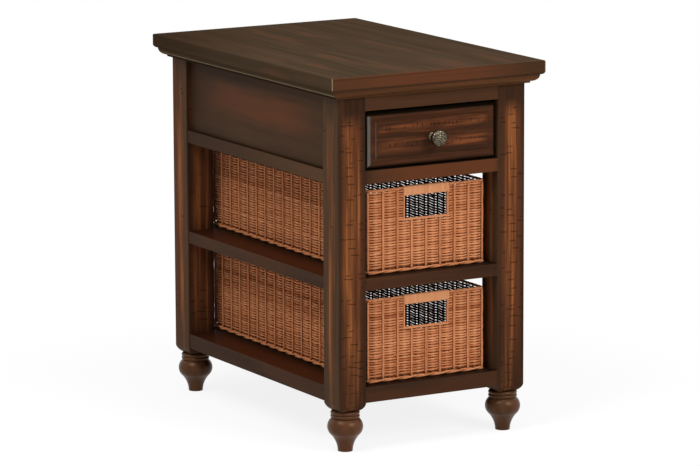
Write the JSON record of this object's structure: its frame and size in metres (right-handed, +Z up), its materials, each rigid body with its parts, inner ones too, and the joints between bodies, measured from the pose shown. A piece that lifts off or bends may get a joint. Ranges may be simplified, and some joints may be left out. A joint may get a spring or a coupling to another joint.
{
  "type": "chairside table",
  "caption": "Narrow chairside table with a moulded top, square posts on turned feet, a drawer with a round knob, and woven baskets that slide out of open bays.",
  "frame": {"origin": "on the floor under the middle of the table", "axes": "+X to the right seen from the drawer's side, +Y to the back, +Z up"},
  "size_m": [0.41, 0.638, 0.635],
  "materials": {
    "case_wood": "dark brown stain, worn to orange brown, satin",
    "top_wood": "dark brown stain with a grey sheen, satin",
    "inner_wood": "plain sanded wood",
    "wicker": "woven cane, light tan",
    "pewter": "hammered antique pewter",
    "steel": "zinc plated"
  },
  "bodies": {
    "case": {"front_left_post": "case_wood", "front_right_post": "case_wood", "rear_left_post": "case_wood", "rear_right_post": "case_wood", "front_left_foot": "case_wood", "front_right_foot": "case_wood", "rear_left_foot": "case_wood", "rear_right_foot": "case_wood", "bottom_shelf": "case_wood", "middle_shelf": "case_wood", "drawer_deck": "case_wood", "front_moulding": "case_wood", "rear_moulding": "case_wood", "left_moulding": "case_wood", "right_moulding": "case_wood", "front_top_rail": "case_wood", "left_side_panel": "case_wood", "right_side_panel": "case_wood", "back_panel": "case_wood", "table_top": "top_wood", "left_kicker": "inner_wood", "right_kicker": "inner_wood", "case_dowels": "inner_wood", "center_runner": "inner_wood", "foot_bolts": "steel", "top_screws": "steel", "runner_screws": "steel"},
    "drawer": {"drawer_front": "case_wood", "drawer_left_side": "inner_wood", "drawer_right_side": "inner_wood", "drawer_back": "inner_wood", "drawer_bottom": "inner_wood", "drawer_guides": "inner_wood", "drawer_knob": "pewter", "knob_rosette": "pewter", "knob_screw": "steel"},
    "upper_basket": {"upper_basket_walls": "wicker", "upper_basket_base": "wicker", "upper_basket_rim": "wicker", "upper_basket_base_border": "wicker", "upper_basket_grips": "wicker"},
    "lower_basket": {"lower_basket_walls": "wicker", "lower_basket_base": "wicker", "lower_basket_rim": "wicker", "lower_basket_base_border": "wicker", "lower_basket_grips": "wicker"}
  },
  "joints": [
    {"name": "drawer_slide", "type": "slide", "parent": "case", "child": "drawer", "axis": [0, -1, 0], "range_m": [0, 0.33]},
    {"name": "upper_basket_slide", "type": "slide", "parent": "case", "child": "upper_basket", "axis": [0, -1, 0], "range_m": [0, 0.6]},
    {"name": "lower_basket_slide", "type": "slide", "parent": "case", "child": "lower_basket", "axis": [0, -1, 0], "range_m": [0, 0.6]}
  ]
}
